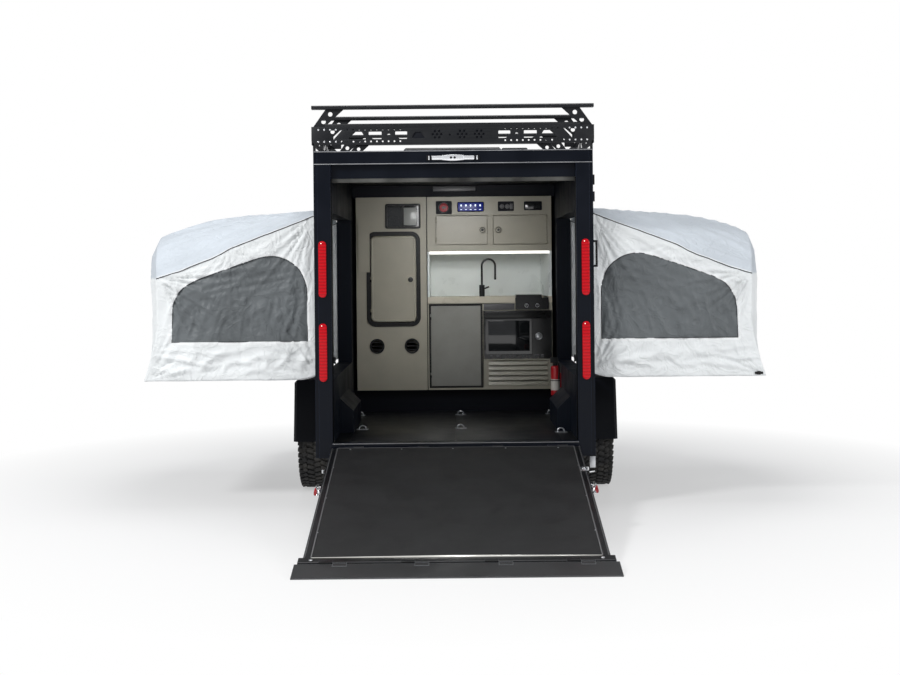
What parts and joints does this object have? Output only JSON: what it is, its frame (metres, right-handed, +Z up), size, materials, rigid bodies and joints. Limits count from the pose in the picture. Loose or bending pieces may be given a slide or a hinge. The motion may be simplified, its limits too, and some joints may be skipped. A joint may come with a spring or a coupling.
{
  "type": "toy-hauler camping trailer",
  "caption": "Box-bodied off-road camping trailer with a rear ramp door, fold-out tent beds, a galley, a perforated roof rack and an A-frame tongue with a jack.",
  "frame": {"origin": "on the ground under the middle of the whole outline", "axes": "+Y forward to the coupler, +Z up, X across; the ramp door is at -Y"},
  "size_m": [4.6706, 6.5224, 2.864],
  "materials": {
    "floor_composite": "satin grey-black composite deck",
    "body_black": "satin black powder coat",
    "frame_black": "semi-gloss black coat",
    "well_black": "textured black coat",
    "chassis_black": "satin black coat",
    "axle_black": "satin black coat",
    "coupler_black": "black coat",
    "jack_zinc": "zinc plate",
    "bottle_white": "white enamel",
    "ramp_black": "satin black coat",
    "ramp_sheet": "dark grey ribless sheet",
    "flap_sheet": "worn dark plate",
    "latch_chrome": "bright plate",
    "latch_red": "red grip",
    "fender_black": "textured black coat",
    "wheel_black": "satin black",
    "tyre": "dusty black rubber",
    "platform_black": "satin black",
    "mattress": "grey quilted cloth",
    "canvas_white": "white coated cloth",
    "lamp_red": "red lens",
    "header_lamp": "bright bar",
    "tie_down_steel": "zinc plate",
    "fitting_black": "black",
    "rack_black": "textured black coat",
    "vent_plastic": "dark moulding",
    "cabinet_beige": "warm beige-grey lacquer",
    "trim_black": "black trim",
    "door_beige": "warm beige-grey lacquer",
    "window_glass": "smoked pane",
    "backsplash": "pale grey-green board",
    "counter_cream": "cream solid surface",
    "cooktop_black": "black enamel",
    "fridge_steel": "brushed steel",
    "appliance_black": "gloss black",
    "louvre_beige": "beige with bright slats",
    "panel_black": "black panels",
    "filler_dark": "dark board",
    "extinguisher_red": "red enamel"
  },
  "bodies": {
    "root": {"floor_deck": "floor_composite", "front_wall": "body_black", "roof_panel": "body_black", "side_wall_left": "body_black", "side_wall_right": "body_black", "rear_frame": "frame_black", "wheel_wells": "well_black", "chassis_frame": "chassis_black", "axle_beam": "axle_black", "coupler": "coupler_black", "jack_tube": "jack_zinc", "gas_bottles": "bottle_white", "fender_left": "fender_black", "fender_right": "fender_black", "tent_left": "canvas_white", "tent_right": "canvas_white", "tail_lamps": "lamp_red", "header_lamp": "header_lamp", "floor_tie_downs": "tie_down_steel", "body_fittings": "fitting_black", "rack_panels": "rack_black", "load_bars": "rack_black", "roof_vent": "vent_plastic", "wardrobe": "cabinet_beige", "wardrobe_trim": "trim_black", "wardrobe_window": "window_glass", "overhead_cupboard": "cabinet_beige", "galley_recess": "backsplash", "counter_top": "counter_cream", "cooktop": "cooktop_black", "base_cabinet": "cabinet_beige", "fridge": "trim_black", "microwave": "appliance_black", "louvre_panel": "louvre_beige", "instrument_panels": "panel_black", "faucet": "trim_black", "galley_fillers": "filler_dark", "extinguisher": "extinguisher_red"},
    "ramp": {"ramp_frame": "ramp_black", "ramp_deck": "ramp_sheet", "ramp_latch_brackets": "latch_chrome", "ramp_latch_handles": "latch_red"},
    "flap": {"ramp_flap": "flap_sheet"},
    "wheel_left": {"wheel_left": "wheel_black", "tyre_left": "tyre"},
    "wheel_right": {"wheel_right": "wheel_black", "tyre_right": "tyre"},
    "bed_left": {"bed_platform_left": "platform_black", "mattress_left": "mattress"},
    "bed_right": {"bed_platform_right": "platform_black", "mattress_right": "mattress"},
    "jack_leg": {"jack_leg": "jack_zinc"},
    "bath_door": {"wardrobe_door": "door_beige"},
    "cupboard_left": {"cupboard_door_left": "door_beige"},
    "cupboard_right": {"cupboard_door_right": "door_beige"},
    "fridge_door": {"fridge_door": "fridge_steel"},
    "microwave_door": {"microwave_door": "appliance_black"}
  },
  "joints": [
    {"name": "ramp_hinge", "type": "hinge", "parent": "root", "child": "ramp", "pos_m": [0, -1.17777, 0.447], "axis": [-1, 0, 0], "range_deg": [0, 101.9]},
    {"name": "flap_hinge", "type": "hinge", "parent": "ramp", "child": "flap", "pos_m": [0, -3.07394, 0.0514], "axis": [-1, 0, 0], "range_deg": [0, 180]},
    {"name": "wheel_left_spin", "type": "hinge", "parent": "root", "child": "wheel_left", "pos_m": [-1.0775, -0.10377, 0.385], "axis": [1, 0, 0], "continuous": true},
    {"name": "wheel_right_spin", "type": "hinge", "parent": "root", "child": "wheel_right", "pos_m": [1.0775, -0.10377, 0.385], "axis": [1, 0, 0], "continuous": true},
    {"name": "bed_left_hinge", "type": "hinge", "parent": "root", "child": "bed_left", "pos_m": [-1, -0.13377, 0.925], "axis": [0, 1, 0], "range_deg": [0, 90], "deforming": ["tent_left"]},
    {"name": "bed_right_hinge", "type": "hinge", "parent": "root", "child": "bed_right", "pos_m": [1, -0.13377, 0.925], "axis": [0, -1, 0], "range_deg": [0, 90], "deforming": ["tent_right"]},
    {"name": "jack_slide", "type": "slide", "parent": "root", "child": "jack_leg", "axis": [0, 0, 1], "range_m": [0, 0.19]},
    {"name": "bath_door_hinge", "type": "hinge", "parent": "root", "child": "bath_door", "pos_m": [-0.7155, 0.87923, 1.5], "axis": [0, 0, -1], "range_deg": [0, 90]},
    {"name": "cupboard_left_hinge", "type": "hinge", "parent": "root", "child": "cupboard_left", "pos_m": [-0.1525, 0.89123, 2.02], "axis": [0, 0, -1], "range_deg": [0, 90]},
    {"name": "cupboard_right_hinge", "type": "hinge", "parent": "root", "child": "cupboard_right", "pos_m": [0.8025, 0.89123, 2.02], "axis": [0, 0, 1], "range_deg": [0, 90]},
    {"name": "fridge_hinge", "type": "hinge", "parent": "root", "child": "fridge_door", "pos_m": [-0.2045, 0.89123, 1], "axis": [0, 0, -1], "range_deg": [0, 90]},
    {"name": "microwave_hinge", "type": "hinge", "parent": "root", "child": "microwave_door", "pos_m": [0.2625, 0.89123, 1.1], "axis": [0, 0, -1], "range_deg": [0, 90]}
  ],
  "couplings": [
    {"joint": "flap_hinge", "follows": "ramp_hinge", "ratio": 1.7664}
  ]
}
